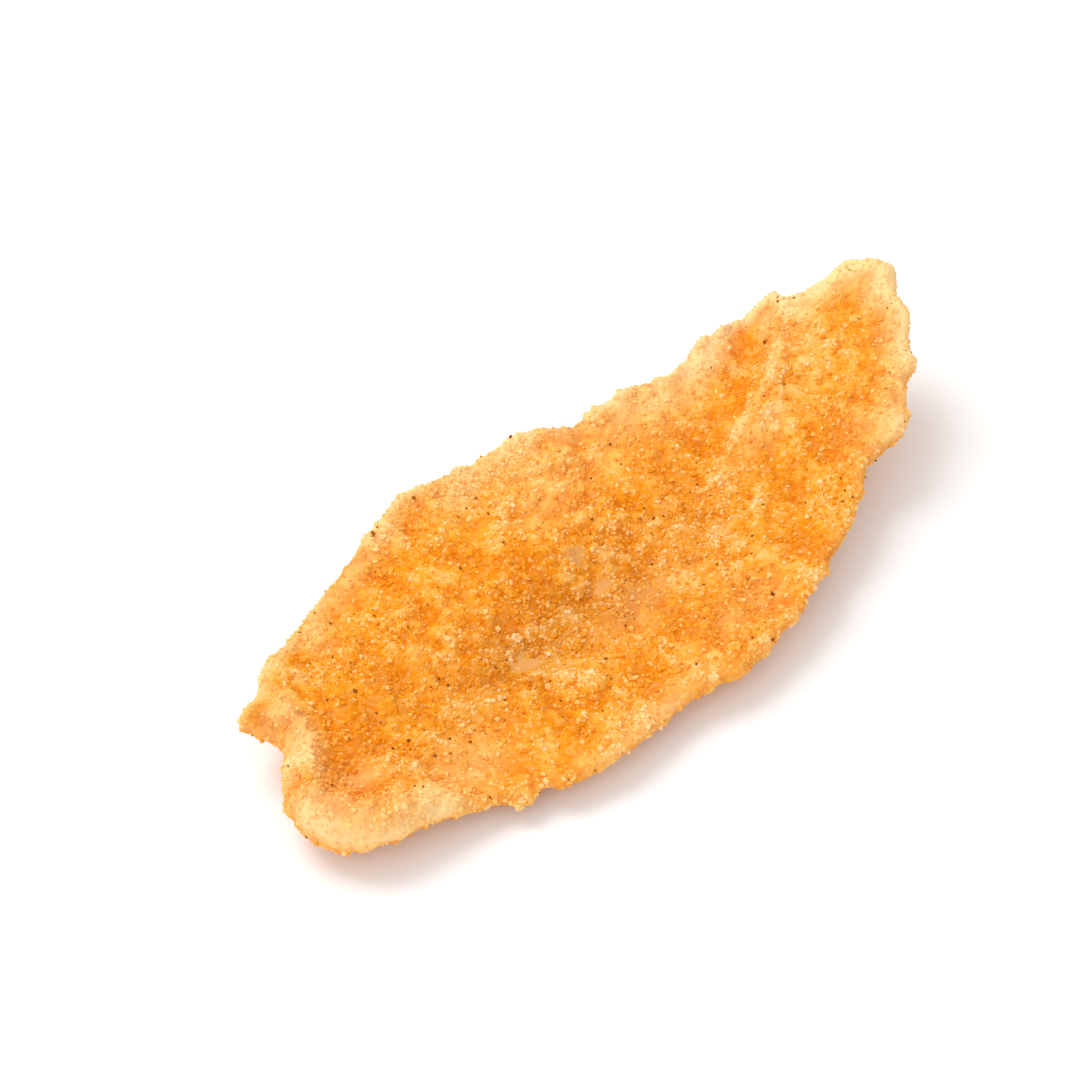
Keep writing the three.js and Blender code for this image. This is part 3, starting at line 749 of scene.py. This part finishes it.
def scattered(rng, count, liking):
    """count places on the crust, as likely per area as liking says, as three corners and their
    weights: a triangle by its area times liking, then an even random point inside it."""
    a, b, c = (crust_points[fish_faces[:, k]] for k in range(3))
    area = np.linalg.norm(np.cross(b - a, c - a), axis=1)
    odds = np.cumsum(area * liking[fish_faces].mean(axis=1))
    chosen = np.searchsorted(odds, rng.uniform(0.0, odds[-1], count))
    s, t = rng.uniform(size=(2, count))
    over = s + t > 1.0
    s[over], t[over] = 1.0 - s[over], 1.0 - t[over]
    return fish_faces[chosen], np.stack([1.0 - s - t, s, t], axis=-1)


def grain_piece(name, rng, count, sizes, stretch, liking, stand, material):
    """One piece of count grains: radii between sizes and mostly small, each grain stretched
    and turned at random, its middle raised off the crust by stand times its radius. Its tone
    is its own, the crust's and the rise of each of its corners off the crust, which paints each
    grain lighter at its top and darker where it sinks in: painted light and shade."""
    corners, weights = scattered(rng, count, liking)

    def local(values):
        return np.einsum("nk,nk...->n...", weights, values[corners])

    normal = local(crust_normals)
    normal /= np.linalg.norm(normal, axis=1, keepdims=True)
    shapes, faces = worn_kernel(rng, count)
    radius = sizes[0] + (sizes[1] - sizes[0]) * rng.uniform(size=(count, 1)) ** MOSTLY_SMALL
    shapes = shapes * (radius * rng.uniform(*stretch, (count, 3)))[:, None, :]
    turned = np.einsum("nij,nkj->nki", random_turns(rng, count), shapes)
    centre = local(crust_points) + normal * radius * rng.uniform(*stand, (count, 1))
    points = (turned + centre[:, None]).reshape(-1, 3)
    points[:, 2] = np.maximum(points[:, 2], 0.0)
    risen = np.einsum("nij,nj->ni", turned, normal) / radius
    own_tone = OWN_TONE * rng.uniform(size=(count, 1)) + CRUST_TONE * local(tone)[:, None]
    starts = KERNEL_CORNERS * np.arange(count)
    made = mesh_object(
        name, points, (faces[None] + starts[:, None, None]).reshape(-1, 3), False,
        grain_tone=(own_tone + LIT_TOP_TONE * risen).ravel(),
        toast=np.repeat(local(toast), KERNEL_CORNERS),
        pale=np.repeat(local(pale), KERNEL_CORNERS),
    )
    made.data.materials.append(material)
    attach(made, "root")


BROWNING_AND_SHADE_MOST, PALING_MOST = 0.5, 0.7
MEAL_ROUGHNESS, MEAL_SHINE = 0.65, 0.07


def meal_material(name, stops, browning_and_shade, paling):
    """Hard cornmeal: each grain has its own tone along the ramp, browner, partly with painted
    shade, or paler, partly floury and partly painted light, where the crust is, with a faint waxy
    gloss."""
    made = bpy.data.materials.new(name)
    made.use_nodes = True
    tree = made.node_tree
    shader = tree.nodes["Principled BSDF"]
    colour = colour_ramp(tree, point_value(tree, "grain_tone"), stops)
    browned_and_shaded = scaled(tree, point_value(tree, "toast"), 0.0, browning_and_shade)
    paled = scaled(tree, point_value(tree, "pale"), 0.0, paling)
    colour = mixed(tree, browned_and_shaded, colour, BROWNING_AND_SHADE, "MULTIPLY")
    colour = mixed(tree, paled, colour, PALE_FLOUR_AND_LIGHT)
    tree.links.new(colour, shader.inputs["Base Color"])
    shader.inputs["Roughness"].default_value = MEAL_ROUGHNESS
    shader.inputs["Specular IOR Level"].default_value = MEAL_SHINE
    return made


# Where grains lie: most on the upper side, in clusters and in the trough, few on bare skin and
# on the smooth rims, none at the table.
UNDER_SHARE, UPPER_MORE, UPPER_FROM = 0.55, 0.45, (-0.3, 0.3)
OFF_TABLE = (0.2, 1.0)
LOOSE_SHARE, CLUSTERS, CLUSTERED_FROM, TROUGH_MORE = 0.4, (5.5, 33.0), (-0.3, 0.5), 0.5
TIP_SMOOTH, HIGH_EDGE_SMOOTH = 0.75, (0.0, 2.0, 0.5)
LIP_SMOOTH_ZONE, LIP_SMOOTH = (70.0, 90.0), (0.0, 3.0, 0.6)
NONE_ON_BARE, SMOOTH_MOST = 0.93, 0.9
upper_share = UNDER_SHARE + UPPER_MORE * ramp(crust_normals[:, 2], *UPPER_FROM)
off_table = ramp(crust_points[:, 2], *OFF_TABLE)
clustered = ramp(lumps(crust_points, *CLUSTERS), *CLUSTERED_FROM)
gathered = LOOSE_SHARE + clustered + TROUGH_MORE * in_trough
smooth_rim = TIP_SMOOTH * at_tip + high_edge * bell(depth, *HIGH_EDGE_SMOOTH)
smooth_rim += ramp(-fish_x, *LIP_SMOOTH_ZONE) * bell(depth, *LIP_SMOOTH) * faces_up
common = upper_share * off_table * gathered * (1.0 - NONE_ON_BARE * bare)
common *= 1.0 - smooth_rim.clip(0.0, SMOOTH_MOST)

# Cream grains keep to the pale tops and to the rims.
LOW_SHARE, TOPS_FROM, CREASE_FEWER = 0.35, (0.35, 0.9), 0.7
RIM_MORE, LIP_MORE = (0.0, 3.0, 0.9), 0.8
on_tops = (LOW_SHARE + ramp(tone, *TOPS_FROM)) * (1.0 - CREASE_FEWER * in_crease)
at_rims = 1.0 + (1.0 - high_edge) * bell(depth, *RIM_MORE) + LIP_MORE * at_lip

CREAM_COLOURS = [
    (0.0, (0.90, 0.35, 0.02)), (0.4, (0.94, 0.48, 0.11)), (0.75, (0.96, 0.57, 0.20)),
    (1.0, (0.98, 0.70, 0.36)),
]
GILDED_COLOURS = [
    (0.0, (0.86, 0.28, 0.005)), (0.5, (0.92, 0.38, 0.03)), (1.0, (0.95, 0.51, 0.13)),
]
AMBER_COLOURS = [
    (0.0, (0.78, 0.23, 0.002)), (0.5, (0.87, 0.30, 0.007)), (1.0, (0.92, 0.39, 0.035)),
]
for name, colours, liking, stand in (
    ("cream_meal", CREAM_COLOURS, common * at_rims * on_tops, CREAM_STAND),
    ("gilded_meal", GILDED_COLOURS, common, HALF_SUNK),
    ("amber_meal", AMBER_COLOURS, common, HALF_SUNK),
):
    grain_piece(
        name, chooser, GRAINS_A_PIECE, GRAIN_RADIUS, UNEVEN_SIDES, liking, stand,
        meal_material(name, colours, BROWNING_AND_SHADE_MOST, PALING_MOST),
    )

# ---- The pepper ----------------------------------------------------------------------------
# Cracked black pepper was stirred into the meal: dark chips, from dust to a millimetre across,
# which stand proud of the crust. They take neither the trough's brown and painted shade nor the
# crust's paleness of flour and painted light.

PEPPER_COUNT = 400
PEPPER_RADIUS = (0.12, 0.36)
CHIPPED = (0.5, 1.7)
PEPPER_STAND = (0.2, 0.7)
FEWER_ON_LIP, FEWER_ON_LOBES = 0.8, 0.5
PEPPER_COLOURS = [
    (0.0, (0.15, 0.042, 0.002)), (0.6, (0.30, 0.085, 0.004)), (1.0, (0.55, 0.185, 0.008)),
]
peppered = upper_share * off_table * (1.0 - FEWER_ON_LIP * at_lip) * (1.0 - FEWER_ON_LOBES * lobes)
grain_piece(
    "cracked_pepper", chooser, PEPPER_COUNT, PEPPER_RADIUS, CHIPPED, peppered, PEPPER_STAND,
    meal_material("cracked_pepper", PEPPER_COLOURS, 0.0, 0.0),
)

# ---- The table, the light and the camera ---------------------------------------------------
# The fillet lies on a plain white table in a white studio, looked down on from beyond the
# blunt end and the low edge.

CAMERA_AZIMUTH = np.radians(-50.0)
CAMERA_HEIGHT = np.radians(43.0)
CAMERA_DISTANCE = 0.5604
CAMERA_AIM = np.array([-0.009, 0.0121, 0.0131])
LENS, SENSOR_WIDTH = 85.0, 36.0
FLOOR_HALF = 3.0
TABLE_WHITE, TABLE_ROUGHNESS = (0.93, 0.93, 0.93, 1.0), 0.8
STUDIO_WHITE, STUDIO_STRENGTH = (1.0, 1.0, 1.0, 1.0), 0.74
WINDOW_PLACE, WINDOW_SIZE, WINDOW_POWER = (-0.1, 0.6, 0.9), 0.7, 6.6
FILL_PLACE, FILL_SIZE, FILL_POWER = (-0.8, -0.4, 0.7), 1.0, 3.4
LIGHTS_AIM = np.array([0.0, 0.0, 0.01])

floor_mesh = bpy.data.meshes.new("table")
floor_corners = np.array([(-1, -1, 0), (1, -1, 0), (1, 1, 0), (-1, 1, 0)], float)
floor_mesh.from_pydata((floor_corners * FLOOR_HALF).tolist(), [], [(0, 1, 2, 3)])
floor = bpy.data.objects.new("table", floor_mesh)
bpy.context.scene.collection.objects.link(floor)
white = bpy.data.materials.new("white_table")
white.use_nodes = True
paint = white.node_tree.nodes["Principled BSDF"]
paint.inputs["Base Color"].default_value = TABLE_WHITE
paint.inputs["Roughness"].default_value = TABLE_ROUGHNESS
floor_mesh.materials.append(white)

world = bpy.data.worlds.new("studio")
world.use_nodes = True
backdrop = world.node_tree.nodes["Background"]
backdrop.inputs["Color"].default_value = STUDIO_WHITE
backdrop.inputs["Strength"].default_value = STUDIO_STRENGTH
bpy.context.scene.world = world


def looking(place, aim):
    """The matrix of something at place that looks at aim: its back axis points away from the
    aim, its right axis is level, and its up axis is square to both."""
    back = (place - aim) / np.linalg.norm(place - aim)
    right = np.cross((0.0, 0.0, 1.0), back)
    right /= np.linalg.norm(right)
    up = np.cross(back, right)
    return Matrix([[right[k], up[k], back[k], place[k]] for k in range(3)] + [[0, 0, 0, 1]])


def soft_box(name, place, size, power):
    """A square area light that looks at the fillet."""
    data = bpy.data.lights.new(name, "AREA")
    data.size, data.energy = size, power
    made = bpy.data.objects.new(name, data)
    made.matrix_world = looking(np.array(place, float), LIGHTS_AIM)
    bpy.context.scene.collection.objects.link(made)


soft_box("window", WINDOW_PLACE, WINDOW_SIZE, WINDOW_POWER)
soft_box("fill", FILL_PLACE, FILL_SIZE, FILL_POWER)

level = np.cos(CAMERA_HEIGHT)
toward = np.array([
    np.sin(CAMERA_AZIMUTH) * level, -np.cos(CAMERA_AZIMUTH) * level, np.sin(CAMERA_HEIGHT),
])
lens = bpy.data.cameras.new("camera")
lens.lens, lens.sensor_width = LENS, SENSOR_WIDTH
camera = bpy.data.objects.new("camera", lens)
camera.matrix_world = looking(CAMERA_AIM + toward * CAMERA_DISTANCE, CAMERA_AIM)
bpy.context.scene.collection.objects.link(camera)
bpy.context.scene.camera = camera
bpy.context.scene.view_settings.view_transform = "Standard"
